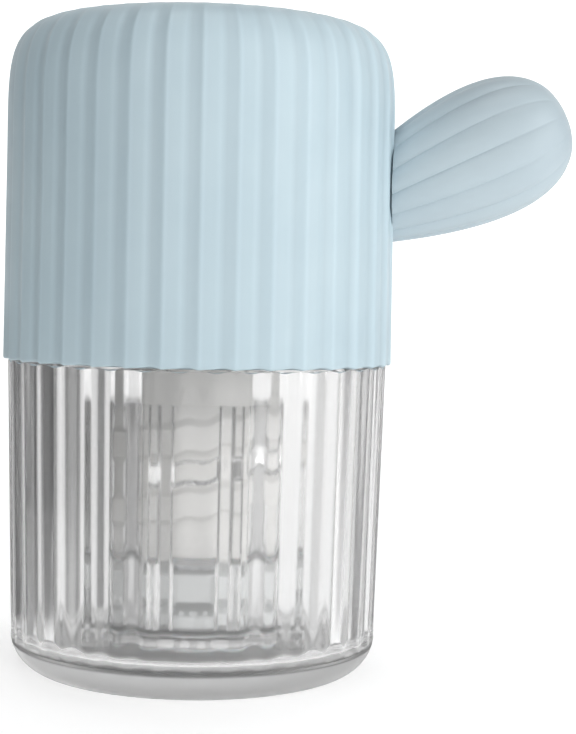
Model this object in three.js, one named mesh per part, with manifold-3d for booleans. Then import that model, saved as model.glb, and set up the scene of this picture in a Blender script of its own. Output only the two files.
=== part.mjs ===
// Screw-type pill crusher: a clear fluted jar, a clear crushing cup standing in it, and a fluted cap
// whose coarse-threaded spindle drives a keyed presser down the cup. A ribbed side arm on the cap is
// the turning lever. Millimetres, +Z up, origin in the middle of the jar's flat underside, the arm
// pointing along +X. Modelled closed, with the presser just above the grinding disc.
import * as THREE from 'three';
import Module from 'manifold-3d';
import { mergeVertices } from 'three/addons/utils/BufferGeometryUtils.js';

const wasm = await Module();
wasm.setup();

// Driving dimensions ---------------------------------------------------------------------------
const GAP = 0.3; // clearance left between neighbouring pieces

const FLUTES = 36; // lengthwise flutes round the jar and the cap
const JAR_FLUTE_DEPTH = 0.4;
const CAP_FLUTE_DEPTH = 0.3;

const JAR_TOP_R = 26.65;
const JAR_LOW_R = 25.8;
const JAR_SHOULDER_Z = 43.4;
const JAR_FILLET = 5.5; // rounding between the wall and the flat underside
const JAR_FLOOR_Z = 4.5;
const JAR_INNER_TOP_R = 22.4;
const JAR_INNER_LOW_R = 22.0;
const JAR_INNER_FILLET = 2;
const NECK_R = 24.3;
const NECK_TOP_Z = 51.5;
const NECK_GROOVE_Z = 46.2;
const NECK_GROOVE_H = 2.2;
const NECK_GROOVE_DEPTH = 0.9;

const LUGS = 3; // lugs on the jar floor that stop the cup turning
const LUG_R = [13.6, 16.6];
const LUG_W = 3;
const LUG_TOP_Z = 7;

const PAD_R = [6.5, 12];
const PAD_Z = [4.8, 5.6];

const CUP_R = 13;
const CUP_Z = [5.9, 38.3];
const CUP_FLOOR_Z = 7.4;
const CUP_FLANGE_R = 15.6;
const CUP_LOW_BORE_R = 9.4;
const CUP_LOW_BORE_TOP_Z = 16.4;
const CUP_BORE_R = 10.9;
const CUP_SLOT_R = 12;
const KEYS = 6; // key slots down the cup, with a key on the presser in each
const SLOT_W = 3;

const LEAD = 9; // rise of the cap for one full turn
const THREAD_ROOT_R = 9;
const THREAD_CREST_R = 10.6;
const THREAD_ROOT_W = 4.4;
const THREAD_CREST_W = 3.2;
const THREAD_Z = [19.8, 36.6]; // first and last centre height of the spindle's thread
const NUT_ROOT_W = 3.4;
const NUT_CREST_W = 2.4;
const NUT_Z = [28.5, 36.2]; // first and last centre height of the cup's thread
const STEPS_PER_TURN = 36;

const DISC_Z = [7.7, 9.3];
const DISC_R = 9.1;
const RIDGES = 8;
const RIDGE_H = 0.5;
const RIDGE_W = 1.4;

const PRESSER_Z = [11.3, 15];
const PRESSER_TOOTH_H = 0.5;
const KEY_R = 11.7;
const KEY_W = 2.4;

const WASHER_Z = [15.3, 15.9];
const WASHER_R = [1.8, 6];

const SPINDLE_Z0 = 16.2;
const SPINDLE_BORE_R = 4.2;
const SPINDLE_BORE_Z = 24;
const SPINDLE_FLANGE_Z = [55.7, 58];
const SPINDLE_FLANGE_R = 15.5;

const LINER_Z = [53, 55.4];
const LINER_R = 24.5;
const LINER_HOLE_R = 10.9;
const GASKET_R = [22.3, 24.3];
const GASKET_Z = [51.8, 52.7];

const CAP_LOW_R = 27.35;
const CAP_R = 27.15;
const CAP_Z0 = 43.7;
const CAP_TOP_Z = 91.4;
const CAP_SHOULDER_Z = 73; // height where the wall starts to turn into the dome
const CAP_SIDE_POWER = 7.7; // squareness of the shoulder against the wall
const CAP_TOP_POWER = 4.5; // squareness of the shoulder against the dome
const CAP_INNER_R = 24.9;
const CAP_WALL = 2.2;
const CAP_FLUTE_FADE_H = 3; // the cap's flutes die out over this height below its top

const SCREW_RING_R = 19; // liner screws and the cap's bosses
const FLANGE_SCREW_RING_R = 13;
const BOSS_R = 3.1;
const BOSS_TOP_Z = 68;
const BOSS_WEB_W = 2.4; // web that ties each boss to the cap's wall
const SCREW_SHANK_R = 1;
const SCREW_HOLE_R = 1.35;
const SCREW_HEAD_R = 2.2;
const SCREW_HEAD_H = 1.5;
const SOCKET_R = 0.9;
const SOCKET_DEPTH = 0.8;

const ARM_CENTRE = [32.4, 0, 70.4];
const ARM_TILT = 25.8; // degrees above horizontal
const ARM_HALF_LENGTH = 21.1;
const ARM_HALF_WIDTH = 8.55;
const ARM_EGG = 0.53; // how much fatter the outer end is than the root
const ARM_BLUNT_POWER = 0.83; // below 1 blunts the tip
const ARM_RIBS = 14;
const ARM_RIB_DEPTH = 0.5;
const ARM_SCREW_Z = [65.6, 72.2];
const ARM_PILOT_X = 35; // depth of the blind holes that take the arm's two screws
const PLATE_R = [22.4, 24.5];
const PLATE_HALF_W = 4.5;
const PLATE_Z = [62, 76];

const ROUND = 36; // facets round a plain turned piece
const SMALL = 14; // facets round a screw or a hole

// Solid helpers --------------------------------------------------------------------------------
const rad = THREE.MathUtils.degToRad;
const upright = new THREE.Matrix4();

// One closed skin through rings of equal point count, fanned shut at both ends.
function loft(rings, placing = upright) {
  const count = rings[0].length;
  const points = rings.flat().map((p) => new THREE.Vector3(...p));
  const middle = (ring) => ring
    .reduce((sum, p) => sum.add(new THREE.Vector3(...p)), new THREE.Vector3())
    .divideScalar(count);
  const first = points.push(middle(rings[0])) - 1;
  const last = points.push(middle(rings[rings.length - 1])) - 1;
  const faces = [];
  for (let i = 0; i < rings.length - 1; i += 1) {
    for (let j = 0; j < count; j += 1) {
      const k = (j + 1) % count;
      const a = i * count;
      const b = a + count;
      faces.push(a + j, a + k, b + k, a + j, b + k, b + j);
    }
  }
  const end = (rings.length - 1) * count;
  for (let j = 0; j < count; j += 1) {
    const k = (j + 1) % count;
    faces.push(first, k, j, last, end + j, end + k);
  }
  const placed = points.flatMap((p) => p.applyMatrix4(placing).toArray());
  const geometry = new THREE.BufferGeometry();
  geometry.setAttribute('position', new THREE.Float32BufferAttribute(placed, 3));
  geometry.setIndex(faces);
  return toManifold(geometry);
}

function toManifold(geometry) {
  const merged = mergeVertices(geometry, 1e-5);
  return new wasm.Manifold(new wasm.Mesh({
    numProp: 3,
    vertProperties: new Float32Array(merged.attributes.position.array),
    triVerts: new Uint32Array(merged.index.array),
  }));
}

function toGeometry(solid) {
  const mesh = solid.getMesh();
  const geometry = new THREE.BufferGeometry();
  geometry.setAttribute('position', new THREE.BufferAttribute(mesh.vertProperties, 3));
  geometry.setIndex(new THREE.BufferAttribute(mesh.triVerts, 1));
  geometry.computeVertexNormals();
  return geometry;
}

function circle(radius, z, count, x = 0, y = 0) {
  return Array.from({ length: count }, (_, i) => {
    const angle = (2 * Math.PI * i) / count;
    return [x + radius * Math.cos(angle), y + radius * Math.sin(angle), z];
  });
}

// A solid turned about the vertical axis from [radius, height] pairs listed from the bottom up.
const turned = (profile, count = ROUND) => loft(profile.map(([r, z]) => circle(r, z, count)));

const rod = (radius, z0, z1, x = 0, y = 0, count = SMALL) => loft([
  circle(radius, z0, count, x, y),
  circle(radius, z1, count, x, y),
]);

const ring = (radii, heights) => turned([[radii[1], heights[0]], [radii[1], heights[1]]])
  .subtract(turned([[radii[0], heights[0] - 1], [radii[0], heights[1] + 1]]));

function rectangle(x0, x1, y0, y1, z) {
  return [[x0, y0, z], [x1, y0, z], [x1, y1, z], [x0, y1, z]];
}

const block = (x, y, z, placing = upright) => loft([
  rectangle(x[0], x[1], y[0], y[1], z[0]),
  rectangle(x[0], x[1], y[0], y[1], z[1]),
], placing);

const spun = (degrees) => new THREE.Matrix4().makeRotationZ(rad(degrees));

const around = (count, make) => Array.from({ length: count }, (_, i) => make((360 / count) * i));

const joined = (solids) => solids.reduce((sum, solid) => sum.add(solid));

function polar(radius, degrees) {
  return [radius * Math.cos(rad(degrees)), radius * Math.sin(rad(degrees))];
}

// Turned profile with flutes: every second point is set in along the profile's own normal.
function fluted(profile) {
  const rings = profile.map(([r, z, depth], i) => {
    const before = profile[Math.max(i - 1, 0)];
    const after = profile[Math.min(i + 1, profile.length - 1)];
    const slope = new THREE.Vector2(after[0] - before[0], after[1] - before[1]).normalize();
    return Array.from({ length: 2 * FLUTES }, (_, j) => {
      const angle = (Math.PI * j) / FLUTES;
      const inset = j % 2 === 0 ? 0 : depth;
      const radius = r - slope.y * inset;
      return [radius * Math.cos(angle), radius * Math.sin(angle), z + slope.x * inset];
    });
  });
  return loft(rings);
}

// A trapezoid ridge wound up a right-handed helix between two centre heights.
function helix(rootR, crestR, rootW, crestW, heights, phase) {
  const turns = (heights[1] - heights[0]) / LEAD;
  const steps = Math.round(turns * STEPS_PER_TURN);
  const rings = Array.from({ length: steps + 1 }, (_, i) => {
    const angle = (2 * Math.PI * i) / STEPS_PER_TURN + (2 * Math.PI * heights[0]) / LEAD + phase;
    const z = heights[0] + (LEAD * i) / STEPS_PER_TURN;
    const at = (r, dz) => [r * Math.cos(angle), r * Math.sin(angle), z + dz];
    const inner = rootR < crestR ? [rootR, rootW] : [crestR, crestW];
    const outer = rootR < crestR ? [crestR, crestW] : [rootR, rootW];
    return [
      at(inner[0], inner[1] / 2),
      at(outer[0], outer[1] / 2),
      at(outer[0], -outer[1] / 2),
      at(inner[0], -inner[1] / 2),
    ];
  });
  return loft(rings);
}

// Pan-head screw pointing up (+1) or down (-1), its head seated at height z, with a drive socket.
function screw(x, y, z, length, direction) {
  const shape = (from, to, radius, count = SMALL) => {
    const ends = [z + direction * from, z + direction * to].sort((a, b) => a - b);
    return rod(radius, ends[0], ends[1], x, y, count);
  };
  return shape(-SCREW_HEAD_H, 0, SCREW_HEAD_R)
    .add(shape(-0.2, length, SCREW_SHANK_R))
    .subtract(shape(-SCREW_HEAD_H - 1, -SCREW_HEAD_H + SOCKET_DEPTH, SOCKET_R, 6));
}

// Jar and the soft pieces that stay with it ----------------------------------------------------
function jar() {
  const wall = JAR_SHOULDER_Z - JAR_FILLET;
  const outside = [[JAR_LOW_R - JAR_FILLET, 0, 0]];
  for (const degrees of [25, 45, 65, 80]) {
    const r = JAR_LOW_R - JAR_FILLET * (1 - Math.sin(rad(degrees)));
    outside.push([r, JAR_FILLET * (1 - Math.cos(rad(degrees))), 0]);
  }
  outside.push(
    [JAR_LOW_R, JAR_FILLET - 0.5, JAR_FLUTE_DEPTH],
    [JAR_LOW_R + (JAR_TOP_R - JAR_LOW_R) * ((wall - 1) / wall), JAR_SHOULDER_Z - 1, JAR_FLUTE_DEPTH],
    [JAR_TOP_R - 0.3, JAR_SHOULDER_Z, JAR_FLUTE_DEPTH],
  );
  const neck = turned([
    [NECK_R, JAR_SHOULDER_Z - 1],
    [NECK_R, NECK_GROOVE_Z],
    [NECK_R - NECK_GROOVE_DEPTH, NECK_GROOVE_Z + 0.01],
    [NECK_R - NECK_GROOVE_DEPTH, NECK_GROOVE_Z + NECK_GROOVE_H - 0.01],
    [NECK_R, NECK_GROOVE_Z + NECK_GROOVE_H],
    [NECK_R, NECK_TOP_Z - 0.5],
    [NECK_R - 0.5, NECK_TOP_Z],
  ], 72);
  const inside = turned([
    [JAR_INNER_LOW_R - JAR_INNER_FILLET, JAR_FLOOR_Z],
    [JAR_INNER_LOW_R - 0.6, JAR_FLOOR_Z + 0.6],
    [JAR_INNER_LOW_R, JAR_FLOOR_Z + JAR_INNER_FILLET],
    [JAR_INNER_TOP_R, NECK_TOP_Z + 1],
  ]);
  const lugs = around(LUGS, (degrees) => block(
    LUG_R,
    [-LUG_W / 2, LUG_W / 2],
    [JAR_FLOOR_Z - 0.5, LUG_TOP_Z],
    spun(degrees + 90),
  ));
  return fluted(outside).add(neck).subtract(inside).add(joined(lugs));
}

function neckRing() {
  const inner = NECK_R - NECK_GROOVE_DEPTH + GAP;
  return ring([inner, NECK_R + 0.25], [NECK_GROOVE_Z + GAP, NECK_GROOVE_Z + NECK_GROOVE_H - GAP]);
}

// Crushing cup and its grinding disc -----------------------------------------------------------
function cup() {
  const outside = turned([
    [CUP_FLANGE_R, CUP_Z[0]],
    [CUP_FLANGE_R, CUP_FLOOR_Z],
    [CUP_R, CUP_FLOOR_Z + 0.01],
    [CUP_R, CUP_Z[1]],
  ]);
  const inside = turned([
    [CUP_LOW_BORE_R, CUP_FLOOR_Z],
    [CUP_LOW_BORE_R, CUP_LOW_BORE_TOP_Z],
    [CUP_BORE_R, CUP_LOW_BORE_TOP_Z + 1.2],
    [CUP_BORE_R, CUP_Z[1] + 1],
  ]);
  const half = SLOT_W / 2;
  const slots = joined(around(KEYS, (degrees) => block(
    [CUP_LOW_BORE_R - 1.2, CUP_SLOT_R],
    [-half, half],
    [CUP_FLOOR_Z, CUP_Z[1] + 1],
    spun(degrees),
  )));
  const notches = joined(around(LUGS, (degrees) => block(
    [LUG_R[0] - GAP, CUP_FLANGE_R + 1],
    [-LUG_W / 2 - GAP, LUG_W / 2 + GAP],
    [CUP_Z[0] - 1, CUP_FLOOR_Z + 1],
    spun(degrees + 90),
  )));
  const thread = helix(CUP_BORE_R + 0.4, CUP_LOW_BORE_R, NUT_ROOT_W, NUT_CREST_W, NUT_Z, Math.PI);
  return outside.subtract(inside).add(thread).subtract(slots).subtract(notches);
}

const radialRidges = (z0, z1, offset) => joined(around(RIDGES, (degrees) => block(
  [3.6, 7.8],
  [-RIDGE_W / 2, RIDGE_W / 2],
  [z0, z1],
  spun(degrees + offset),
)));

const grindingDisc = () => turned([
  [DISC_R, DISC_Z[0]],
  [DISC_R, DISC_Z[1] - GAP],
  [DISC_R - GAP, DISC_Z[1]],
]).add(radialRidges(DISC_Z[1] - GAP, DISC_Z[1] + RIDGE_H, 0));

// Presser: slides down the cup without turning -------------------------------------------------
function presser() {
  const half = KEY_W / 2;
  const keys = joined(around(KEYS, (degrees) => block(
    [THREAD_ROOT_R - 1, KEY_R],
    [-half, half],
    [PRESSER_Z[0] + 0.6, PRESSER_Z[1]],
    spun(degrees),
  )));
  const seat = PRESSER_Z[0] + 2;
  return turned([[THREAD_ROOT_R, PRESSER_Z[0]], [THREAD_ROOT_R, PRESSER_Z[1]]])
    .add(radialRidges(PRESSER_Z[0] - PRESSER_TOOTH_H, PRESSER_Z[0] + GAP, 180 / RIDGES))
    .add(keys)
    .subtract(rod(SCREW_HEAD_R + GAP, PRESSER_Z[0] - 1, seat))
    .subtract(rod(SCREW_HOLE_R, seat - 1, PRESSER_Z[1] + 1));
}

const presserScrew = () => screw(0, 0, PRESSER_Z[0] + 2 - GAP, 8, 1);

// Spindle, liner and cap -----------------------------------------------------------------------
function spindle() {
  const shaft = turned([
    [THREAD_ROOT_R - 0.6, SPINDLE_Z0],
    [THREAD_ROOT_R, SPINDLE_Z0 + 0.6],
    [THREAD_ROOT_R, SPINDLE_FLANGE_Z[0]],
    [SPINDLE_FLANGE_R, SPINDLE_FLANGE_Z[0] + 0.01],
    [SPINDLE_FLANGE_R, SPINDLE_FLANGE_Z[1]],
  ]);
  const thread = helix(
    THREAD_ROOT_R - 0.5,
    THREAD_CREST_R,
    THREAD_ROOT_W,
    THREAD_CREST_W,
    THREAD_Z,
    0,
  );
  const holes = joined(around(3, (degrees) => {
    const [x, y] = polar(FLANGE_SCREW_RING_R, degrees);
    return rod(SCREW_HOLE_R, SPINDLE_FLANGE_Z[0] - 1, SPINDLE_FLANGE_Z[1] + 1, x, y);
  }));
  return shaft
    .add(thread)
    .subtract(rod(SPINDLE_BORE_R, SPINDLE_BORE_Z, SPINDLE_FLANGE_Z[1] + 1, 0, 0, ROUND))
    .subtract(rod(SCREW_HOLE_R, SPINDLE_Z0 - 1, SPINDLE_Z0 + 6))
    .subtract(holes);
}

function liner() {
  const plate = ring([LINER_HOLE_R, LINER_R], LINER_Z);
  const bosses = joined(around(3, (degrees) => {
    const [x, y] = polar(FLANGE_SCREW_RING_R, degrees);
    return rod(2.3, LINER_Z[0] - 4, LINER_Z[0] + 0.5, x, y);
  }));
  const pilots = joined(around(3, (degrees) => {
    const [x, y] = polar(FLANGE_SCREW_RING_R, degrees);
    return rod(SCREW_HOLE_R, LINER_Z[0] - 5, LINER_Z[1] + 1, x, y);
  }));
  const holes = joined(around(3, (degrees) => {
    const [x, y] = polar(SCREW_RING_R, degrees + 60);
    return rod(SCREW_HOLE_R, LINER_Z[0] - 1, LINER_Z[1] + 1, x, y);
  }));
  const hole = turned([[LINER_HOLE_R, LINER_Z[0] - 5], [LINER_HOLE_R, LINER_Z[1] + 1]]);
  return plate.add(bosses).subtract(hole).subtract(pilots).subtract(holes);
}

// Half-section of the cap's shoulder: a squared-off quarter curve from the wall to the dome.
function shoulder(fraction, radius, base, top) {
  const r = radius * (1 - fraction ** CAP_TOP_POWER) ** (1 / CAP_SIDE_POWER);
  return [r, base + (top - base) * fraction];
}

function capShell() {
  const outside = [[CAP_LOW_R, CAP_Z0, CAP_FLUTE_DEPTH], [CAP_R, CAP_SHOULDER_Z, CAP_FLUTE_DEPTH]];
  for (const fraction of [0.5, 0.7, 0.8, 0.87, 0.92, 0.96, 0.985, 0.998]) {
    const [r, z] = shoulder(fraction, CAP_R, CAP_SHOULDER_Z, CAP_TOP_Z);
    outside.push([r, z, CAP_FLUTE_DEPTH * Math.min(1, (CAP_TOP_Z - z) / CAP_FLUTE_FADE_H)]);
  }
  outside.push([5, CAP_TOP_Z, 0]);
  const inside = [[CAP_INNER_R, CAP_Z0 - 1], [CAP_INNER_R - 0.2, CAP_SHOULDER_Z]];
  for (const fraction of [0.6, 0.8, 0.9, 0.97]) {
    inside.push(shoulder(fraction, CAP_INNER_R - 0.2, CAP_SHOULDER_Z, CAP_TOP_Z - CAP_WALL));
  }
  const bossZ = [LINER_Z[1] + GAP, BOSS_TOP_Z];
  const bosses = joined(around(3, (degrees) => {
    const [x, y] = polar(SCREW_RING_R, degrees + 60);
    const web = block(
      [SCREW_RING_R, CAP_INNER_R + 0.5],
      [-BOSS_WEB_W / 2, BOSS_WEB_W / 2],
      bossZ,
      spun(degrees + 60),
    );
    return rod(BOSS_R, bossZ[0], bossZ[1], x, y).add(web);
  }));
  const pilots = joined(around(3, (degrees) => {
    const [x, y] = polar(SCREW_RING_R, degrees + 60);
    return rod(SCREW_HOLE_R, LINER_Z[1] - 1, LINER_Z[1] + 12, x, y);
  }));
  const armHoles = joined(ARM_SCREW_Z.map((z) => acrossRod(SCREW_HOLE_R, 20, 30, z)));
  return fluted(outside).subtract(turned(inside)).add(bosses).subtract(pilots).subtract(armHoles);
}

// Side arm -------------------------------------------------------------------------------------
// A rod lying along +X at height z in the plane of the arm.
function acrossRod(radius, x0, x1, z, count = SMALL) {
  const lying = new THREE.Matrix4().makeRotationY(Math.PI / 2).setPosition(0, 0, z);
  return loft([circle(radius, x0, count), circle(radius, x1, count)], lying);
}

// Egg of revolution about the arm's own axis, ribbed lengthwise, the ribs fading at both ends.
function egg() {
  const axis = new THREE.Matrix4().makeRotationY(Math.PI / 2 - rad(ARM_TILT));
  axis.setPosition(...ARM_CENTRE);
  const rings = [];
  for (const degrees of [150, 130, 115, 100, 85, 70, 56, 43, 31, 20, 12, 5]) {
    const angle = rad(degrees);
    const along = ARM_HALF_LENGTH * Math.cos(angle);
    const round = ARM_HALF_WIDTH * Math.sin(angle) ** ARM_BLUNT_POWER;
    const width = round * (1 + ARM_EGG * Math.cos(angle));
    const groove = ARM_RIB_DEPTH * Math.sin(angle) ** 2;
    rings.push(Array.from({ length: 2 * ARM_RIBS }, (_, j) => {
      const turn = (Math.PI * j) / ARM_RIBS;
      const r = width - (j % 2 === 0 ? 0 : groove);
      return [r * Math.cos(turn), r * Math.sin(turn), along];
    }));
  }
  return loft(rings, axis);
}

function arm() {
  const pilots = joined(ARM_SCREW_Z.map((z) => acrossRod(SCREW_HOLE_R, 25, ARM_PILOT_X, z)));
  const capFace = turned([[CAP_LOW_R + GAP, 40], [CAP_LOW_R + GAP, 100]], 72);
  return egg().subtract(capFace).subtract(pilots);
}

function armPlate() {
  const wedge = block([0, 40], [-PLATE_HALF_W, PLATE_HALF_W], PLATE_Z);
  const holes = joined(ARM_SCREW_Z.map((z) => acrossRod(SCREW_HOLE_R, 15, 30, z)));
  return ring(PLATE_R, PLATE_Z).intersect(wedge).subtract(holes);
}

function armScrew(z) {
  const seat = PLATE_R[0] - GAP;
  return acrossRod(SCREW_HEAD_R, seat - SCREW_HEAD_H, seat, z)
    .add(acrossRod(SCREW_SHANK_R, seat - 0.2, ARM_PILOT_X - 1, z))
    .subtract(acrossRod(SOCKET_R, seat - 5, seat - SCREW_HEAD_H + SOCKET_DEPTH, z, 6));
}

// Assembly -------------------------------------------------------------------------------------
const MATERIALS = {
  clear: { color: 0xdfe3e4, roughness: 0.08, metalness: 0, transparent: true, opacity: 0.4 },
  blue: { color: 0xbcd2dc, roughness: 0.5, metalness: 0 },
  white: { color: 0xe9ebea, roughness: 0.45, metalness: 0 },
  silicone: { color: 0xd8dcdd, roughness: 0.7, metalness: 0 },
  steel: { color: 0xb9bcc0, roughness: 0.3, metalness: 1 },
};

const crusher = new THREE.Group();
crusher.name = 'pill_crusher';

function place(name, solid, material) {
  const mesh = new THREE.Mesh(toGeometry(solid), new THREE.MeshStandardMaterial(MATERIALS[material]));
  mesh.name = name;
  crusher.add(mesh);
}

place('jar', jar(), 'clear');
place('neck_ring', neckRing(), 'silicone');
place('cup_pad', ring(PAD_R, PAD_Z), 'silicone');
place('crushing_cup', cup(), 'clear');
place('grinding_disc', grindingDisc(), 'white');
place('presser_foot', presser(), 'white');
place('thrust_washer', ring(WASHER_R, WASHER_Z), 'steel');
place('presser_screw', presserScrew(), 'steel');
place('spindle', spindle(), 'white');
place('cap_liner', liner(), 'white');
place('cap_gasket', ring(GASKET_R, GASKET_Z), 'silicone');
place('cap_shell', capShell(), 'blue');
place('arm', arm(), 'blue');
place('arm_clamp_plate', armPlate(), 'steel');
ARM_SCREW_Z.forEach((z, i) => place(`arm_screw_${i + 1}`, armScrew(z), 'steel'));
around(3, (degrees) => polar(SCREW_RING_R, degrees + 60)).forEach(([x, y], i) => {
  place(`liner_screw_${i + 1}`, screw(x, y, LINER_Z[0] - GAP, 11, 1), 'steel');
});
around(3, (degrees) => polar(FLANGE_SCREW_RING_R, degrees)).forEach(([x, y], i) => {
  place(`flange_screw_${i + 1}`, screw(x, y, SPINDLE_FLANGE_Z[1] + GAP, 8, -1), 'steel');
});

export default crusher;
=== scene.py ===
"""Screw-type pill crusher: the looks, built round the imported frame. Lengths below are millimetres
until they reach Blender, which works in metres."""

import math

import bmesh
import bpy
import numpy as np
from mathutils import Matrix, Vector


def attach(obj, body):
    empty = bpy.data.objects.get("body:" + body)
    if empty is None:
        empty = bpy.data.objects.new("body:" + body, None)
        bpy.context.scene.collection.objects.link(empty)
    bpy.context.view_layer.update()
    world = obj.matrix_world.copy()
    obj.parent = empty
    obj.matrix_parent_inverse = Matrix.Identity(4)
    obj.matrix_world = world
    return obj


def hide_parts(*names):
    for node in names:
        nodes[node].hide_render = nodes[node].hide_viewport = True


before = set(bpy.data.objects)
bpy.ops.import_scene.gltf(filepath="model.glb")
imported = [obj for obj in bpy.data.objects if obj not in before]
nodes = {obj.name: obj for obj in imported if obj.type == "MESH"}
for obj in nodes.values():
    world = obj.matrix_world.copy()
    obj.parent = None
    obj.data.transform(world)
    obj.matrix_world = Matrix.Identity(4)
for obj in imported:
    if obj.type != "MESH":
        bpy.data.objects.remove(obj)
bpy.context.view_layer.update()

MM = 0.001
TAU = 2 * math.pi

# Sizes, nearly all of them the CAD solids' own ----------------------------------------------------
FLUTES = 36
JAR_FLUTE_DEPTH, CAP_FLUTE_DEPTH = 0.36, 0.32
JAR_TOP_R, JAR_LOW_R = 26.65, 25.8
JAR_SHOULDER_Z, JAR_FILLET, JAR_FLOOR_Z = 43.4, 5.5, 4.5
JAR_INNER_TOP_R, JAR_INNER_LOW_R = 22.4, 22.0
JAR_FLUTE_START_Z, JAR_FLUTE_FADE_H = 4.65, 0.3
JAR_LUG_RING_R, JAR_LUG_SIZE = 15.1, (3.0, 3.0, 2.9)
FOOT_TOP_Z, FOOT_GROOVE_Z, FOOT_GROOVE_DEPTH = 5.5, 4.4, 0.3
FOOT_GROOVE_HALF_W, FOOT_PAINTED_SHADOW_HALF_W = 0.25, 0.45
NECK_R, NECK_TOP_Z = 24.3, 51.5
NECK_GROOVE = (46.2, 48.4, 23.4)
CAP_LOW_R, CAP_R, CAP_Z0, CAP_TOP_Z, CAP_SHOULDER_Z = 27.35, 27.15, 43.7, 91.4, 73.0
CAP_SIDE_POWER, CAP_TOP_POWER = 7.7, 4.5
CAP_INNER_R, CAP_WALL, CAP_FLUTE_FADE_H = 24.9, 2.2, 3.0
# Across one flute of the cap, from 0 to 1: where the land ends, where the hollow is deepest, and
# the land's depth there as a share of the whole depth.
FLUTE_CREASE, FLUTE_DEEPEST, FLUTE_LAND_DEPTH = 0.44, 0.68, 0.54
CUP_R, CUP_Z0, CUP_TOP_Z, CUP_FLOOR_Z, CUP_FLANGE_R = 13.0, 5.9, 38.3, 7.4, 15.6
CUP_LOW_BORE_R, CUP_LOW_BORE_TOP_Z, CUP_BORE_R = 9.4, 16.4, 10.9
CUP_SLOT_R, CUP_SLOTS, CUP_SLOT_W = 12.0, 6, 3.0
CUP_SLOT_MID_R, SLOT_SIDE_W = 11.0, 0.24
CUP_NOTCHES, CUP_NOTCH_HALF_W, CUP_NOTCH_R = 3, 1.9, CUP_R + 0.3
LEAD = 9.0
THREAD_ROOT_R, THREAD_CREST_R, THREAD_ROOT_W, THREAD_CREST_W = 9.0, 10.6, 4.4, 3.2
THREAD_Z = (19.8, 36.6)
NUT_R, NUT_ROOT_W, NUT_CREST_W, NUT_Z = 9.4, 3.4, 2.4, (28.5, 36.2)
SPINDLE_Z0, SPINDLE_FLANGE_Z, SPINDLE_TOP_Z, SPINDLE_FLANGE_R = 16.2, 55.7, 58.0, 15.5
SPINDLE_BORE_R, SPINDLE_BORE_Z = 4.2, 24.0
FLANGE_SCREW_RING_R, PILOT_TOP_Z = 13.0, 22.2
ARM_CENTRE, ARM_TILT = (32.4, 0.0, 70.4), 25.8
ARM_HALF_LENGTH, ARM_HALF_WIDTH, ARM_EGG, ARM_BLUNT_POWER = 21.0, 8.55, 0.53, 0.83
ARM_RIBS, ARM_RIB_DEPTH = 14, 0.45
ARM_SCREW_Z, ARM_PILOT_X = (65.6, 72.2), 35.0
BOSS_RING_R, BOSS_R, BOSS_Z0, BOSS_TOP_Z = 19.0, 3.1, 55.7, 68.0
BOSS_WEB_W, BOSS_PILOT_TOP_Z = 2.4, 67.4
HOLE_R = 1.35


# Mesh making --------------------------------------------------------------------------------
def new_object(name, mesh):
    made = bpy.data.objects.new(name, mesh)
    bpy.context.scene.collection.objects.link(made)
    return made


def skin(name, rings):
    """A closed mesh through rings, an array (rows, columns, 3) in mm, with a fan at each end."""
    rows, columns = rings.shape[:2]
    points = np.concatenate([
        rings.reshape(-1, 3),
        rings[0].mean(0, keepdims=True),
        rings[-1].mean(0, keepdims=True),
    ]) * MM
    index = np.arange(rows * columns).reshape(rows, columns)
    after = np.roll(index, -1, axis=1)
    quads = np.stack([index[:-1], after[:-1], after[1:], index[1:]], axis=-1).reshape(-1, 4)
    first, last = rows * columns, rows * columns + 1
    start = np.stack([np.full(columns, first), after[0], index[0]], axis=-1)
    end = np.stack([np.full(columns, last), index[-1], after[-1]], axis=-1)
    mesh = bpy.data.meshes.new(name)
    mesh.from_pydata(points.tolist(), [], quads.tolist() + start.tolist() + end.tolist())
    mesh.update()
    return new_object(name, mesh)


def smooth(made, degrees=35):
    """Smooth shading that keeps edges sharper than this crisp."""
    mesh = made.data
    mesh.shade_smooth()
    mesh.set_sharp_from_angle(angle=math.radians(degrees))
    return made


def angles(columns):
    return np.arange(columns) * TAU / columns


def revolve(profile, columns, relief=None, wave=None):
    """Rings of a profile of (radius, height) turned about Z. relief is how deep the wave, a value
    from 0 to 1 round the ring, is cut along the profile's own normal at each profile point."""
    profile = np.asarray(profile, float)
    slope = np.gradient(profile, axis=0)
    slope /= np.maximum(np.hypot(*slope.T), 1e-9)[:, None]
    turn = angles(columns)
    radius = np.repeat(profile[:, :1], columns, axis=1)
    height = np.repeat(profile[:, 1:], columns, axis=1)
    if wave is not None:
        cut = np.asarray(relief)[:, None] * wave[None, :]
        radius = radius - slope[:, 1:] * cut
        height = height + slope[:, :1] * cut
    return np.stack([radius * np.cos(turn), radius * np.sin(turn), height], axis=-1)


def arc(centre, radius, start, stop, steps):
    """Points of (radius, height) along an arc, angles in degrees from outwards, counter-clockwise."""
    turn = np.radians(np.linspace(start, stop, steps))
    return np.stack([centre[0] + radius * np.cos(turn), centre[1] + radius * np.sin(turn)], -1)


def line(start, stop, steps):
    return np.linspace(start, stop, steps)


def soft_wave(columns, count):
    """0 on the ridges and 1 in the flutes, rounded alike."""
    return 0.5 - 0.5 * np.cos(angles(columns) * count)


def creased_wave(columns, count):
    """0 on the sharp ridges and 1 at the flutes' deepest line. Each flute has a flat land on one side
    and a hollow on the other, which meet at a faint crease."""
    across = (angles(columns) * count / TAU) % 1
    crease, deepest, land = FLUTE_CREASE, FLUTE_DEEPEST, FLUTE_LAND_DEPTH
    hollow = np.where(
        across < deepest,
        1 - (1 - land) * ((deepest - across) / (deepest - crease)) ** 2,
        1 - ((across - deepest) / (1 - deepest)) ** 2)
    return np.where(across < crease, land * across / crease, hollow)


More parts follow.
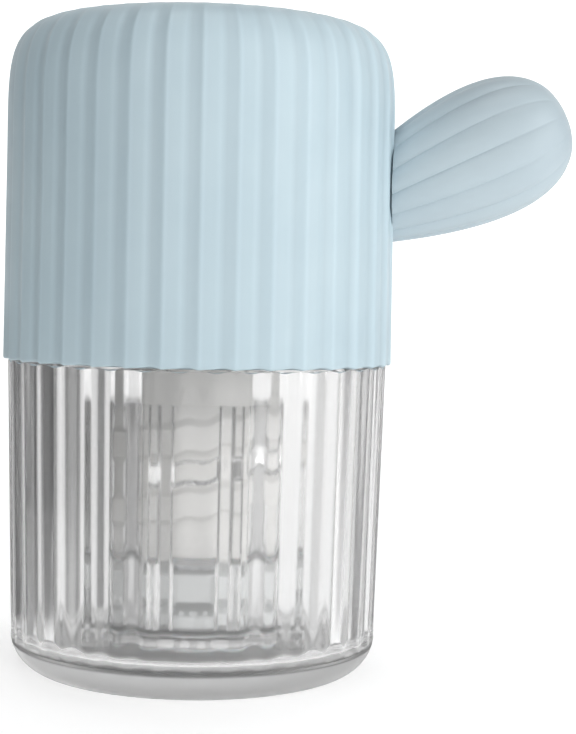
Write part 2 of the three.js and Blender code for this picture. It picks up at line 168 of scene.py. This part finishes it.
def cut_with(target, tool, operation):
    """Joins or cuts with another mesh for good, then drops the tool."""
    change = target.modifiers.new("cut", "BOOLEAN")
    change.operation = operation
    change.object = tool
    change.solver = "MANIFOLD"
    depsgraph = bpy.context.evaluated_depsgraph_get()
    mesh = bpy.data.meshes.new_from_object(target.evaluated_get(depsgraph))
    target.modifiers.clear()
    old, target.data = target.data, mesh
    mesh.name = target.name
    bpy.data.meshes.remove(old)
    bpy.data.meshes.remove(tool.data)


def rod(name, radius, start, stop, columns=48, edge=0.0):
    """A round bar between two points, its ends rounded over by edge."""
    start, stop = Vector(start), Vector(stop)
    length = (stop - start).length
    ends = [(radius - edge, 0), (radius, edge), (radius, length - edge), (radius - edge, length)]
    rings = revolve(ends if edge else [ends[1], ends[2]], columns)
    made = skin(name, rings)
    turn = Vector((0, 0, 1)).rotation_difference(stop - start).to_matrix().to_4x4()
    made.data.transform(Matrix.Translation(start * MM) @ turn)
    return made


def ring_points(radius, count, offset=0.0):
    for i in range(count):
        turn = TAU * i / count + math.radians(offset)
        yield radius * math.cos(turn), radius * math.sin(turn)


def thread_height(turn, height, heights, widths, phase):
    """0 to 1: how far a helical ridge stands at each angle and height."""
    shift = LEAD * (turn - phase) / TAU
    step = np.round((height - shift) / LEAD)
    centre = shift + step * LEAD
    away = np.abs(height - centre)
    root, crest = widths[0] / 2, widths[1] / 2
    rise = np.clip((root - away) / (root - crest), 0, 1)
    ends = np.clip(np.minimum(centre - heights[0], heights[1] - centre) / 0.35 + 0.5, 0, 1)
    return rise * ends


# Materials ----------------------------------------------------------------------------------
class Shader:
    """A node material with a Principled shader, built up by short calls."""

    def __init__(self, name, **sockets):
        self.material = bpy.data.materials.new(name)
        self.material.use_nodes = True
        self.tree = self.material.node_tree
        self.bsdf = self.tree.nodes["Principled BSDF"]
        for socket, value in sockets.items():
            self.bsdf.inputs[socket.replace("_", " ").capitalize()].default_value = value
        self.place = self.node("ShaderNodeTexCoord").outputs["Object"]

    def node(self, kind, **values):
        made = self.tree.nodes.new(kind)
        for key, value in values.items():
            setattr(made, key, value)
        return made

    def link(self, source, target):
        self.tree.links.new(source, target)

    def noise(self, scale, detail=3.0, stretch=(1, 1, 1), roughness=0.5):
        mapping = self.node("ShaderNodeMapping")
        mapping.inputs["Scale"].default_value = stretch
        self.link(self.place, mapping.inputs["Vector"])
        made = self.node("ShaderNodeTexNoise")
        made.inputs["Scale"].default_value = scale
        made.inputs["Detail"].default_value = detail
        made.inputs["Roughness"].default_value = roughness
        self.link(mapping.outputs["Vector"], made.inputs["Vector"])
        return made.outputs["Fac"]

    def ramp(self, source, low, high, start=0.3, stop=0.7):
        """Colour between low and high as source goes from start to stop."""
        made = self.node("ShaderNodeValToRGB")
        made.color_ramp.elements[0].position = start
        made.color_ramp.elements[1].position = stop
        made.color_ramp.elements[0].color = low
        made.color_ramp.elements[1].color = high
        self.link(source, made.inputs["Fac"])
        return made.outputs["Color"]

    def span(self, source, low, high, start=0.3, stop=0.7):
        """A number between low and high as source goes from start to stop."""
        made = self.node("ShaderNodeMapRange")
        made.inputs["From Min"].default_value = start
        made.inputs["From Max"].default_value = stop
        made.inputs["To Min"].default_value = low
        made.inputs["To Max"].default_value = high
        self.link(source, made.inputs["Value"])
        return made.outputs["Result"]

    def colour(self, source, low, high):
        self.link(self.ramp(source, low, high), self.bsdf.inputs["Base Color"])

    def roughness(self, source, low, high):
        self.link(self.span(source, low, high), self.bsdf.inputs["Roughness"])

    def bump(self, source, distance, strength=1.0):
        made = self.node("ShaderNodeBump")
        made.inputs["Distance"].default_value = distance * MM
        made.inputs["Strength"].default_value = strength
        self.link(source, made.inputs["Height"])
        self.link(made.outputs["Normal"], self.bsdf.inputs["Normal"])

    def above(self, height):
        """0 below a height in mm, 1 above it."""
        split = self.node("ShaderNodeSeparateXYZ")
        self.link(self.place, split.inputs["Vector"])
        made = self.node("ShaderNodeMapRange")
        made.inputs["From Min"].default_value = (height - 0.15) * MM
        made.inputs["From Max"].default_value = (height + 0.15) * MM
        self.link(split.outputs["Z"], made.inputs["Value"])
        return made.outputs["Result"]

    def blend(self, share, low, high):
        """From the colour low to the colour socket high as share goes from 0 to 1."""
        made = self.node("ShaderNodeMix", data_type="RGBA")
        self.link(share, made.inputs[0])
        made.inputs[6].default_value = low
        self.link(high, made.inputs[7])
        return made.outputs[2]

    def math(self, operation, *values):
        """The result of a math node on sockets and numbers."""
        made = self.node("ShaderNodeMath", operation=operation)
        for socket, value in zip(made.inputs, values):
            if isinstance(value, bpy.types.NodeSocket):
                self.link(value, socket)
            else:
                socket.default_value = value
        return made.outputs["Value"]

    def shade(self, colour, share, tint):
        """The colour, multiplied by the grey tint as far as share goes from 0 to 1."""
        made = self.node("ShaderNodeMix", data_type="RGBA", blend_type="MULTIPLY")
        self.link(share, made.inputs[0])
        self.link(colour, made.inputs[6])
        made.inputs[7].default_value = (tint, tint, tint, 1)
        return made.outputs[2]

    def painted_flute_light_shares(self):
        """How near each point is to the cap's ridges and to its flutes' deepest lines, 0 to 1, both
        fading out where the flutes run out under the dome's flat top. They mask the painted highlight
        on the ridges and the painted shade in the hollows."""
        split = self.node("ShaderNodeSeparateXYZ")
        self.link(self.place, split.inputs["Vector"])
        turn = self.math("ARCTAN2", split.outputs["Y"], split.outputs["X"])
        across = self.math("FRACT", self.math("MULTIPLY", turn, FLUTES / TAU))
        fade = self.span(split.outputs["Z"], 1, 0, (CAP_TOP_Z - CAP_FLUTE_FADE_H) * MM, CAP_TOP_Z * MM)
        from_middle = self.math("ABSOLUTE", self.math("SUBTRACT", across, 0.5))
        from_deepest = self.math("ABSOLUTE", self.math("SUBTRACT", across, FLUTE_DEEPEST))
        ridge = self.span(from_middle, 0, 1, 0.36, 0.5)
        hollow = self.span(from_deepest, 1, 0, 0, 0.18)
        return self.math("MULTIPLY", ridge, fade), self.math("MULTIPLY", hollow, fade)

    def lets_lamps_through(self, tint):
        """Clear plastic whose shadow is a pale tint, as thin moulded plastic gives."""
        output = self.tree.nodes["Material Output"]
        clear = self.node("ShaderNodeBsdfTransparent")
        clear.inputs["Color"].default_value = tint
        path = self.node("ShaderNodeLightPath")
        mix = self.node("ShaderNodeMixShader")
        self.link(path.outputs["Is Shadow Ray"], mix.inputs["Fac"])
        self.link(self.bsdf.outputs["BSDF"], mix.inputs[1])
        self.link(clear.outputs["BSDF"], mix.inputs[2])
        self.link(mix.outputs["Shader"], output.inputs["Surface"])


def srgb(red, green, blue):
    """Linear colour of an 8-bit display colour."""
    def linear(value):
        value /= 255
        return value / 12.92 if value <= 0.04045 else ((value + 0.055) / 1.055) ** 2.4
    return (linear(red), linear(green), linear(blue), 1.0)


def blue_plastic(name, low, high, painted_flute_light=False):
    """With the flute option, a painted highlight runs along the cap's ridges and painted shade lies in
    its flutes' hollows.
    """
    made = Shader(name, Roughness=0.5)
    colour = made.ramp(made.noise(60, 4), low, high)
    # Painted highlight on the ridges (x1.07) and painted shade in the flutes' hollows (x0.93).
    if painted_flute_light:
        ridge, hollow = made.painted_flute_light_shares()
        colour = made.shade(made.shade(colour, ridge, 1.07), hollow, 0.93)
    made.link(colour, made.bsdf.inputs["Base Color"])
    made.roughness(made.noise(350, 3), 0.42, 0.56)
    made.bump(made.noise(5200, 2), 0.012, 0.5)
    return made.material


def clear_plastic(name, tint, rough, foot=None):
    """foot is (height in mm, tint, roughness) where the piece is moulded with a satin foot. A dark
    painted shadow line runs along the foot's groove."""
    made = Shader(name, Roughness=rough)
    made.bsdf.inputs["Transmission Weight"].default_value = 0.96
    made.bsdf.inputs["IOR"].default_value = 1.5
    colour = made.ramp(made.noise(40, 2), tint, tuple(min(1.0, c * 1.02) for c in tint))
    if foot:
        above = made.above(foot[0])
        colour = made.blend(above, foot[1], colour)
        # Painted shadow: a dark line along the foot's groove.
        shadow_line_top = made.above(FOOT_GROOVE_Z + FOOT_PAINTED_SHADOW_HALF_W)
        shadow_line_foot = made.above(FOOT_GROOVE_Z - FOOT_PAINTED_SHADOW_HALF_W)
        colour = made.blend(shadow_line_foot, foot[1], made.blend(shadow_line_top, FOOT_GROOVE_PAINTED_SHADOW, colour))
        made.link(made.span(above, foot[2], rough, 0, 1), made.bsdf.inputs["Roughness"])
    made.link(colour, made.bsdf.inputs["Base Color"])
    made.bump(made.noise(120, 2), 0.02, 0.35)
    made.lets_lamps_through(CLEAR_SHADOW)
    return made.material


def white_plastic():
    made = Shader("white_satin", Roughness=0.4)
    made.colour(made.noise(80, 4), srgb(228, 231, 231), srgb(238, 240, 240))
    made.roughness(made.noise(300, 3), 0.34, 0.5)
    made.bump(made.noise(4200, 2), 0.01, 0.4)
    return made.material


def spindle_plastic():
    made = Shader("grey_nylon", Roughness=0.3)
    made.bsdf.inputs["Transmission Weight"].default_value = 0.1
    made.bsdf.inputs["IOR"].default_value = 1.3
    made.colour(made.noise(90, 4), srgb(250, 249, 246), srgb(254, 253, 251))
    made.roughness(made.noise(260, 3), 0.24, 0.4)
    made.bump(made.noise(2600, 2, (1, 1, 0.2)), 0.012, 0.4)
    return made.material


def silicone():
    made = Shader("natural_silicone", Roughness=0.6)
    made.bsdf.inputs["Subsurface Weight"].default_value = 0.3
    made.bsdf.inputs["Subsurface Scale"].default_value = 1.5 * MM
    made.colour(made.noise(150, 3), srgb(205, 210, 212), srgb(219, 223, 224))
    made.roughness(made.noise(500, 3), 0.5, 0.7)
    made.bump(made.noise(3000, 3), 0.015, 0.5)
    return made.material


def steel():
    made = Shader("bright_steel", Roughness=0.3, Metallic=1.0)
    made.colour(made.noise(200, 4), srgb(176, 178, 182), srgb(200, 202, 205))
    made.roughness(made.noise(600, 3), 0.2, 0.38)
    made.bump(made.noise(1500, 2, (1, 1, 8)), 0.008, 0.4)
    return made.material


CLEAR_SHADOW = (0.96, 0.96, 0.96, 1)
# Colour of the painted shadow line in the jar foot's groove.
FOOT_GROOVE_PAINTED_SHADOW = (0.18, 0.18, 0.18, 1)
BLUE = blue_plastic("pale_blue_satin", srgb(186, 206, 215), srgb(193, 212, 220), painted_flute_light=True)
# The arm's blue is a darker, greyer copy of the cap's blue plastic: painted shade.
ARM_SHADED_BLUE = blue_plastic("arm_blue_satin", srgb(180, 195, 203), srgb(187, 202, 209))
CLEAR = clear_plastic("clear_jar", (0.94, 0.94, 0.94, 1), 0.12,
                      foot=(FOOT_TOP_Z, (0.76, 0.76, 0.76, 1), 0.4))
CLEAR_CUP = clear_plastic("clear_cup", (0.95, 0.95, 0.95, 1), 0.06)
WHITE = white_plastic()
GREY = spindle_plastic()
SILICONE = silicone()
STEEL = steel()


def finish(made, material, body, slot, *stands_for):
    made.data.materials.clear()
    made.data.materials.append(material)
    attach(made, body)
    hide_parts(*stands_for)
    return made


# Jar ----------------------------------------------------------------------------------------
def build_jar():
    columns = FLUTES * 14
    fillet_x = JAR_LOW_R - JAR_FILLET
    wall_top = JAR_SHOULDER_Z + 0.1
    wall_r = JAR_LOW_R + (JAR_TOP_R - JAR_LOW_R) * (wall_top - JAR_FILLET) / (
        JAR_SHOULDER_Z - JAR_FILLET)
    outer = np.concatenate([
        line((1.5, 0.35), (fillet_x - 3.4, 0.35), 4),
        line((fillet_x - 2.8, 0.0), (fillet_x - 0.6, 0.0), 3),
        arc((fillet_x, JAR_FILLET), JAR_FILLET, -90, -14.2, 20),
        arc((fillet_x, JAR_FILLET), JAR_FILLET, -11.5, -8.9, 2),
        arc((fillet_x, JAR_FILLET), JAR_FILLET, -7.5, -1, 6),
        line((JAR_LOW_R, JAR_FILLET), (wall_r, wall_top), 16),
        arc((wall_r - 0.15, wall_top), 0.15, 10, 80, 4),
    ])
    z = outer[:, 1]
    relief = JAR_FLUTE_DEPTH * np.clip((z - JAR_FLUTE_START_Z) / JAR_FLUTE_FADE_H, 0, 1)
    off_groove = np.abs(z - FOOT_GROOVE_Z) / FOOT_GROOVE_HALF_W
    groove = FOOT_GROOVE_DEPTH * np.clip(1 - off_groove, 0, 1)
    groove_low, groove_high, groove_r = NECK_GROOVE
    neck = np.concatenate([
        line((NECK_R + 0.8, JAR_SHOULDER_Z), (NECK_R + 0.2, JAR_SHOULDER_Z), 3),
        line((NECK_R, JAR_SHOULDER_Z + 0.2), (NECK_R, groove_low), 3),
        line((groove_r, groove_low + 0.05), (groove_r, groove_high - 0.05), 3),
        line((NECK_R, groove_high), (NECK_R, NECK_TOP_Z - 0.6), 3),
        arc((NECK_R - 0.6, NECK_TOP_Z - 0.6), 0.6, 15, 90, 5),
        arc((JAR_INNER_TOP_R + 0.6, NECK_TOP_Z - 0.6), 0.6, 95, 180, 5),
    ])
    inner = np.concatenate([
        line((JAR_INNER_TOP_R, NECK_TOP_Z - 1.2), (JAR_INNER_LOW_R, JAR_FLOOR_Z + 2.2), 12),
        arc((JAR_INNER_LOW_R - 2, JAR_FLOOR_Z + 2), 2, 0, -90, 10),
        line((JAR_INNER_LOW_R - 3, JAR_FLOOR_Z), (1.0, JAR_FLOOR_Z), 6),
    ])
    outer[:, 0] -= groove
    profile = np.concatenate([outer, neck, inner])
    depth = np.concatenate([relief, np.zeros(len(neck) + len(inner))])
    made = skin("jar_clear", revolve(profile, columns, depth, soft_wave(columns, FLUTES)))
    for x, y in ring_points(JAR_LUG_RING_R, CUP_NOTCHES, 90):
        lug = box_bar(*JAR_LUG_SIZE, 0.3)
        turn = math.atan2(y, x)
        lug.data.transform(Matrix.Translation((x * MM, y * MM, (JAR_FLOOR_Z - 0.4) * MM))
                           @ Matrix.Rotation(turn, 4, "Z"))
        cut_with(made, lug, "UNION")
    return finish(smooth(made, 30), CLEAR, "jar_body", "clear", "jar")


def box_bar(length, width, height, edge):
    """A small block standing on z = 0, centred, with softened edges."""
    mesh = bpy.data.meshes.new("bar")
    shape = bmesh.new()
    bmesh.ops.create_cube(shape, size=1.0)
    for vertex in shape.verts:
        vertex.co = Vector((
            vertex.co.x * length, vertex.co.y * width, (vertex.co.z + 0.5) * height)) * MM
    bmesh.ops.bevel(shape, geom=shape.edges[:], offset=edge * MM, segments=2, affect="EDGES",
                    profile=0.5)
    shape.to_mesh(mesh)
    shape.free()
    return new_object("bar", mesh)


# Crushing cup -------------------------------------------------------------------------------
def near_slot(turn, count, offset=0.0):
    """Angle from the nearest of count evenly spaced directions."""
    step = TAU / count
    return (turn - math.radians(offset) + step / 2) % step - step / 2


def build_cup():
    columns = 432
    outer = np.concatenate([
        line((1.0, CUP_Z0), (CUP_FLANGE_R - 0.3, CUP_Z0), 5),
        line((CUP_FLANGE_R, CUP_Z0 + 0.3), (CUP_FLANGE_R, CUP_FLOOR_Z - 0.3), 2),
        line((CUP_FLANGE_R - 0.3, CUP_FLOOR_Z), (CUP_R + 0.5, CUP_FLOOR_Z), 3),
        line((CUP_R, CUP_FLOOR_Z + 0.5), (CUP_R, CUP_TOP_Z - 0.4), 6),
        line((CUP_R - 0.3, CUP_TOP_Z), (CUP_SLOT_R + 0.25, CUP_TOP_Z), 2),
    ])
    rings = revolve(outer, columns)
    turn = angles(columns)
    notch = np.abs(near_slot(turn, CUP_NOTCHES, 90)) * CUP_FLANGE_R < CUP_NOTCH_HALF_W
    radius = np.hypot(rings[..., 0], rings[..., 1])
    flange = (radius > CUP_NOTCH_R) & notch[None, :]
    rings[..., :2] *= np.where(flange, CUP_NOTCH_R / np.maximum(radius, 1e-6), 1)[..., None]
    height = np.concatenate([
        line(CUP_TOP_Z - 0.2, NUT_Z[1] + 2, 2),
        line(NUT_Z[1] + 1.9, NUT_Z[0] - 2, 60),
        line(NUT_Z[0] - 2.4, CUP_LOW_BORE_TOP_Z + 1.3, 8),
        line(CUP_LOW_BORE_TOP_Z + 1.1, CUP_LOW_BORE_TOP_Z, 4),
        line(CUP_LOW_BORE_TOP_Z - 0.5, CUP_FLOOR_Z, 6),
    ])
    z = np.repeat(height[:, None], columns, axis=1)
    narrowing = np.clip((CUP_LOW_BORE_TOP_Z + 1.2 - z) / 1.2, 0, 1)
    bore = CUP_BORE_R + (CUP_LOW_BORE_R - CUP_BORE_R) * narrowing
    ridge = thread_height(turn[None, :], z, NUT_Z, (NUT_ROOT_W, NUT_CREST_W), math.pi)
    bore = bore - (CUP_BORE_R - NUT_R) * ridge
    off_slot = np.abs(near_slot(turn, CUP_SLOTS)) * CUP_SLOT_MID_R
    slot = np.clip((CUP_SLOT_W / 2 + SLOT_SIDE_W / 2 - off_slot) / SLOT_SIDE_W, 0, 1)
    bore = bore + (CUP_SLOT_R - bore) * slot[None, :]
    inside = np.stack([bore * np.cos(turn), bore * np.sin(turn), z], axis=-1)
    floor = revolve(line((CUP_LOW_BORE_R - 0.6, CUP_FLOOR_Z), (1.0, CUP_FLOOR_Z), 4), columns)
    made = skin("crushing_cup_clear", np.concatenate([rings, inside, floor]))
    return finish(smooth(made, 40), CLEAR_CUP, "cup_body", "clear_cup", "crushing_cup")


# Spindle ------------------------------------------------------------------------------------
def build_spindle():
    columns = 288
    turn = angles(columns)
    height = np.concatenate([
        line(SPINDLE_Z0 + 0.5, THREAD_Z[0] - 2.4, 3),
        line(THREAD_Z[0] - 2.3, THREAD_Z[1] + 2.3, 130),
        line(THREAD_Z[1] + 2.5, SPINDLE_FLANGE_Z - 1.5, 8),
    ])
    z = np.repeat(height[:, None], columns, axis=1)
    ridge = thread_height(turn[None, :], z, THREAD_Z, (THREAD_ROOT_W, THREAD_CREST_W), 0.0)
    radius = THREAD_ROOT_R + (THREAD_CREST_R - THREAD_ROOT_R) * ridge
    shaft = np.stack([radius * np.cos(turn), radius * np.sin(turn), z], axis=-1)
    foot = revolve([(1.5, SPINDLE_Z0), (THREAD_ROOT_R - 0.6, SPINDLE_Z0)], columns)
    flange_r = SPINDLE_FLANGE_R
    top = revolve(np.concatenate([
        arc((THREAD_ROOT_R + 1.2, SPINDLE_FLANGE_Z - 1.2), 1.2, 170, 95, 5),
        line((THREAD_ROOT_R + 1.4, SPINDLE_FLANGE_Z), (flange_r - 0.4, SPINDLE_FLANGE_Z), 3),
        line((flange_r, SPINDLE_FLANGE_Z + 0.4), (flange_r, SPINDLE_TOP_Z - 0.4), 2),
        line((flange_r - 0.4, SPINDLE_TOP_Z), (SPINDLE_BORE_R + 0.5, SPINDLE_TOP_Z), 3),
        line((SPINDLE_BORE_R, SPINDLE_TOP_Z - 0.5), (SPINDLE_BORE_R, SPINDLE_BORE_Z + 0.8), 6),
        line((SPINDLE_BORE_R - 0.8, SPINDLE_BORE_Z), (1.0, SPINDLE_BORE_Z), 3),
    ]), columns)
    made = skin("spindle_threaded", np.concatenate([foot, shaft, top]))
    pilot = rod("pilot", HOLE_R, (0, 0, SPINDLE_Z0 - 1.2), (0, 0, PILOT_TOP_Z))
    cut_with(made, pilot, "DIFFERENCE")
    for x, y in ring_points(FLANGE_SCREW_RING_R, 3):
        hole = rod("hole", HOLE_R, (x, y, SPINDLE_FLANGE_Z - 1.7), (x, y, SPINDLE_TOP_Z + 2))
        cut_with(made, hole, "DIFFERENCE")
    return finish(smooth(made, 30), GREY, "cap_body", "spindle_plastic", "spindle")


# Cap ----------------------------------------------------------------------------------------
def shoulder(radius, base, top, fractions):
    across = radius * (1 - fractions ** CAP_TOP_POWER) ** (1 / CAP_SIDE_POWER)
    return np.stack([across, base + (top - base) * fractions], axis=-1)


def build_cap():
    columns = FLUTES * 18
    # Even steps along the curve: close together where the shoulder turns quickest.
    fractions = 1 - (1 - np.linspace(0.02, 1, 46)) ** 2.4
    fractions = fractions[fractions < 0.9995]
    dome = shoulder(CAP_R, CAP_SHOULDER_Z, CAP_TOP_Z, fractions)
    inner_dome = shoulder(CAP_INNER_R - 0.2, CAP_SHOULDER_Z, CAP_TOP_Z - CAP_WALL,
                          1 - (1 - np.linspace(0.05, 1, 20)) ** 2.4)[:-1]
    inside = np.concatenate([
        [(1.0, CAP_TOP_Z - CAP_WALL)],
        inner_dome[::-1],
        line((CAP_INNER_R - 0.2, CAP_SHOULDER_Z), (CAP_INNER_R, CAP_Z0 + 0.4), 8),
        [(CAP_INNER_R + 0.3, CAP_Z0)],
    ])
    edge = arc((CAP_LOW_R - 0.35, CAP_Z0 + 0.35), 0.35, -90, -5, 5)
    outside = np.concatenate([
        edge,
        line((CAP_LOW_R, CAP_Z0 + 0.8), (CAP_R, CAP_SHOULDER_Z), 14),
        dome,
        line((dome[-1, 0] * 0.85, CAP_TOP_Z), (1.0, CAP_TOP_Z), 10),
    ])
    depth = CAP_FLUTE_DEPTH * np.clip((CAP_TOP_Z - outside[:, 1]) / CAP_FLUTE_FADE_H, 0, 1)
    profile = np.concatenate([inside, outside])
    relief = np.concatenate([np.zeros(len(inside)), depth])
    made = skin("cap_fluted", revolve(profile, columns, relief, creased_wave(columns, FLUTES)))
    for x, y in ring_points(BOSS_RING_R, 3, 60):
        web = box_bar(CAP_INNER_R - BOSS_RING_R + 0.6, BOSS_WEB_W, BOSS_TOP_Z - BOSS_Z0, 0.2)
        web.data.transform(
            Matrix.Rotation(math.atan2(y, x), 4, "Z")
            @ Matrix.Translation(((BOSS_RING_R + CAP_INNER_R + 0.4) / 2 * MM, 0, BOSS_Z0 * MM)))
        cut_with(made, rod("boss", BOSS_R, (x, y, BOSS_Z0), (x, y, BOSS_TOP_Z), 48, 0.3), "UNION")
        cut_with(made, web, "UNION")
        pilot = rod("pilot", HOLE_R, (x, y, BOSS_Z0 - 1), (x, y, BOSS_PILOT_TOP_Z))
        cut_with(made, pilot, "DIFFERENCE")
    for z in ARM_SCREW_Z:
        hole = rod("hole", HOLE_R, (CAP_INNER_R - 2.9, 0, z), (CAP_R + 2.85, 0, z))
        cut_with(made, hole, "DIFFERENCE")
    return finish(smooth(made, 40), BLUE, "cap_body", "blue", "cap_shell")


# Arm ----------------------------------------------------------------------------------------
def build_arm():
    columns = ARM_RIBS * 22
    turn = angles(columns)
    phi = np.radians(np.concatenate([
        np.linspace(150, 30, 54), 28 * np.linspace(1, 0.1, 20) ** 1.6]))[:, None]
    along = ARM_HALF_LENGTH * np.cos(phi)
    width = ARM_HALF_WIDTH * np.sin(phi) ** ARM_BLUNT_POWER * (1 + ARM_EGG * np.cos(phi))
    groove = (1 - np.abs(np.cos(turn * ARM_RIBS / 2)) ** 0.7)[None, :]
    radius = width - ARM_RIB_DEPTH * groove * np.sin(phi) ** 1.5
    rings = np.stack([
        radius * np.cos(turn), radius * np.sin(turn), np.repeat(along, columns, axis=1)], -1)
    made = skin("arm_ribbed", rings)
    tilt = Matrix.Rotation(math.pi / 2 - math.radians(ARM_TILT), 4, "Y")
    made.data.transform(Matrix.Translation(Vector(ARM_CENTRE) * MM) @ tilt)
    cut_with(made, rod("cap", CAP_R, (0, 0, 40), (0, 0, 100), 360), "DIFFERENCE")
    for z in ARM_SCREW_Z:
        pilot = rod("pilot", HOLE_R, (20, 0, z), (ARM_PILOT_X, 0, z))
        cut_with(made, pilot, "DIFFERENCE")
    return finish(smooth(made, 50), ARM_SHADED_BLUE, "cap_body", "blue", "arm")


build_jar()
build_cup()
build_spindle()
build_cap()
build_arm()

# Smaller pieces keep their CAD solids, with softened edges ------------------------------------
KEPT = {
    "neck_ring": (SILICONE, 0.25), "cup_pad": (SILICONE, 0.15), "cap_gasket": (SILICONE, 0.2),
    "grinding_disc": (WHITE, 0.12), "presser_foot": (WHITE, 0.12), "cap_liner": (WHITE, 0.15),
    "thrust_washer": (STEEL, 0.1), "presser_screw": (STEEL, 0.1), "arm_clamp_plate": (STEEL, 0.15),
}
for kind, count in (("arm_screw", 2), ("liner_screw", 3), ("flange_screw", 3)):
    for i in range(count):
        KEPT[f"{kind}_{i + 1}"] = (STEEL, 0.12)
for name, (material, edge) in KEPT.items():
    kept = nodes[name]
    kept.data.materials.clear()
    kept.data.materials.append(material)
    soften = kept.modifiers.new("edges", "BEVEL")
    soften.width = edge * MM
    soften.segments = 2
    soften.limit_method = "ANGLE"
    soften.angle_limit = math.radians(40)


# Studio -------------------------------------------------------------------------------------
def backdrop():
    """A pale sweep: floor, a wide curve and a wall, as one sheet."""
    bend = arc((1.6, 0.5), 0.5, -90, 0, 16)
    path = [(-1.2, 0.0)] + [tuple(p) for p in bend] + [(2.1, 2.5)]
    points, faces = [], []
    for y, z in path:
        points += [(-2.5, y, z), (2.5, y, z)]
    for i in range(len(path) - 1):
        faces.append((2 * i, 2 * i + 1, 2 * i + 3, 2 * i + 2))
    mesh = bpy.data.meshes.new("sweep")
    mesh.from_pydata(points, [], faces)
    mesh.shade_smooth()
    made = new_object("sweep", mesh)
    paper = Shader("sweep_paper", Roughness=0.9)
    paper.colour(paper.noise(8, 2), (0.93, 0.93, 0.93, 1), (0.95, 0.95, 0.95, 1))
    paper.bsdf.inputs["Emission Color"].default_value = (1, 1, 1, 1)
    paper.bsdf.inputs["Emission Strength"].default_value = 0.38
    made.data.materials.append(paper.material)


def surround():
    """A white wall right round the set, well beyond the sweep. It fills the view past the sweep's
    edges from the sides and the back, and gives the object no light."""
    sides, radius, foot, top = 96, 3.4, -1.5, 3.5
    points = revolve([(radius, foot), (radius, top)], sides).reshape(-1, 3)
    faces = []
    for i in range(sides):
        after = (i + 1) % sides
        faces.append((i, after, sides + after, sides + i))
    mesh = bpy.data.meshes.new("surround")
    mesh.from_pydata(points.tolist(), [], faces)
    mesh.shade_smooth()
    made = new_object("surround", mesh)
    paper = Shader("surround_paper", Roughness=0.9)
    paper.colour(paper.noise(3, 2), (0.93, 0.93, 0.93, 1), (0.95, 0.95, 0.95, 1))
    paper.bsdf.inputs["Emission Color"].default_value = (1, 1, 1, 1)
    paper.bsdf.inputs["Emission Strength"].default_value = 0.9
    made.data.materials.append(paper.material)
    made.visible_diffuse = made.visible_glossy = made.visible_transmission = False
    made.visible_shadow = False


def soft_sun(name, direction, strength, spread):
    """Even light from one side, as wide as a big softbox, spread in degrees."""
    lamp = bpy.data.lights.new(name, "SUN")
    lamp.energy = strength
    lamp.angle = math.radians(spread)
    made = bpy.data.objects.new(name, lamp)
    made.rotation_euler = (-Vector(direction)).to_track_quat("-Z", "Y").to_euler()
    bpy.context.scene.collection.objects.link(made)


def card(name, start, stop, height, glow, shades=False):
    """A card standing on the floor between two floor points and glowing evenly. It is seen through
    the clear parts and in reflections. If it shades, it also stops light from reaching the rest."""
    mesh = bpy.data.meshes.new(name)
    foot = [(*start, 0.0), (*stop, 0.0)]
    mesh.from_pydata(foot + [(x, y, height) for x, y, _ in foot[::-1]], [], [(0, 1, 2, 3)])
    made = new_object(name, mesh)
    paper = Shader("card_paper", Roughness=0.9)
    paper.colour(paper.noise(10, 2), (0.02, 0.02, 0.02, 1), (0.03, 0.03, 0.03, 1))
    paper.bsdf.inputs["Emission Color"].default_value = (1, 1, 1, 1)
    paper.bsdf.inputs["Emission Strength"].default_value = glow
    mesh.materials.append(paper.material)
    made.visible_camera = False
    made.visible_diffuse = made.visible_shadow = shades


def panel(name, place, size, strength):
    """A tall softbox standing at the floor's level and facing the object."""
    lamp = bpy.data.lights.new(name, "AREA")
    lamp.shape = "RECTANGLE"
    lamp.size, lamp.size_y = size
    lamp.energy = strength
    made = bpy.data.objects.new(name, lamp)
    made.location = place
    made.rotation_euler = (-Vector(place)).to_track_quat("-Z", "Y").to_euler()
    made.visible_camera = False
    bpy.context.scene.collection.objects.link(made)


backdrop()
surround()
card("card_left_shade", (-0.165, -0.16), (-0.165, 0.12), 0.2, 0.0, shades=True)
card("card_left_dark", (-0.028, 0.035), (-0.042, 0.030), 0.05, 0.02)
card("card_left_grey", (-0.042, 0.030), (-0.051, 0.0195), 0.05, 0.5)
card("card_left_edge", (-0.051, 0.0195), (-0.064, 0.004), 0.05, 0.05)
card("card_left_pale", (-0.017, 0.045), (-0.028, 0.035), 0.05, 0.85)
card("card_right_grey", (0.0385, 0.028), (0.062, 0.008), 0.05, 0.6)
panel("panel_right", (0.5, -0.24, 0.2), (0.12, 0.4), 0.9)
soft_sun("front", (-0.1, -1.0, 0.25), 1.06, 60)
soft_sun("key_right", (0.93, -0.36, 0.3), 0.46, 60)
soft_sun("top", (0.0, -0.1, 1.0), 0.8, 40)

world = bpy.data.worlds.new("studio")
world.use_nodes = True
world.node_tree.nodes["Background"].inputs["Color"].default_value = (1, 1, 1, 1)
world.node_tree.nodes["Background"].inputs["Strength"].default_value = 0.13
bpy.context.scene.world = world
bpy.context.scene.view_settings.view_transform = "Standard"

# Camera: in front of the jar's axis, a little above the seam, turned slightly down and to the right.
DISTANCE, HEIGHT = 250.0, 55.6
PITCH, ROLL, YAW = 0.0503, 0.0210, 0.0512
forward = Vector((math.sin(YAW) * math.cos(PITCH), math.cos(YAW) * math.cos(PITCH),
                  -math.sin(PITCH)))
level = Vector((math.cos(YAW), -math.sin(YAW), 0))
above = level.cross(forward)
right = level * math.cos(ROLL) + above * math.sin(ROLL)
up = above * math.cos(ROLL) - level * math.sin(ROLL)
camera = bpy.data.objects.new("camera", bpy.data.cameras.new("camera"))
camera.data.lens = 86.4
camera.data.clip_start = 0.01
camera.matrix_world = Matrix.Translation((0, -DISTANCE * MM, HEIGHT * MM)) @ Matrix(
    (right, up, -forward)).transposed().to_4x4()
bpy.context.scene.collection.objects.link(camera)
bpy.context.scene.camera = camera
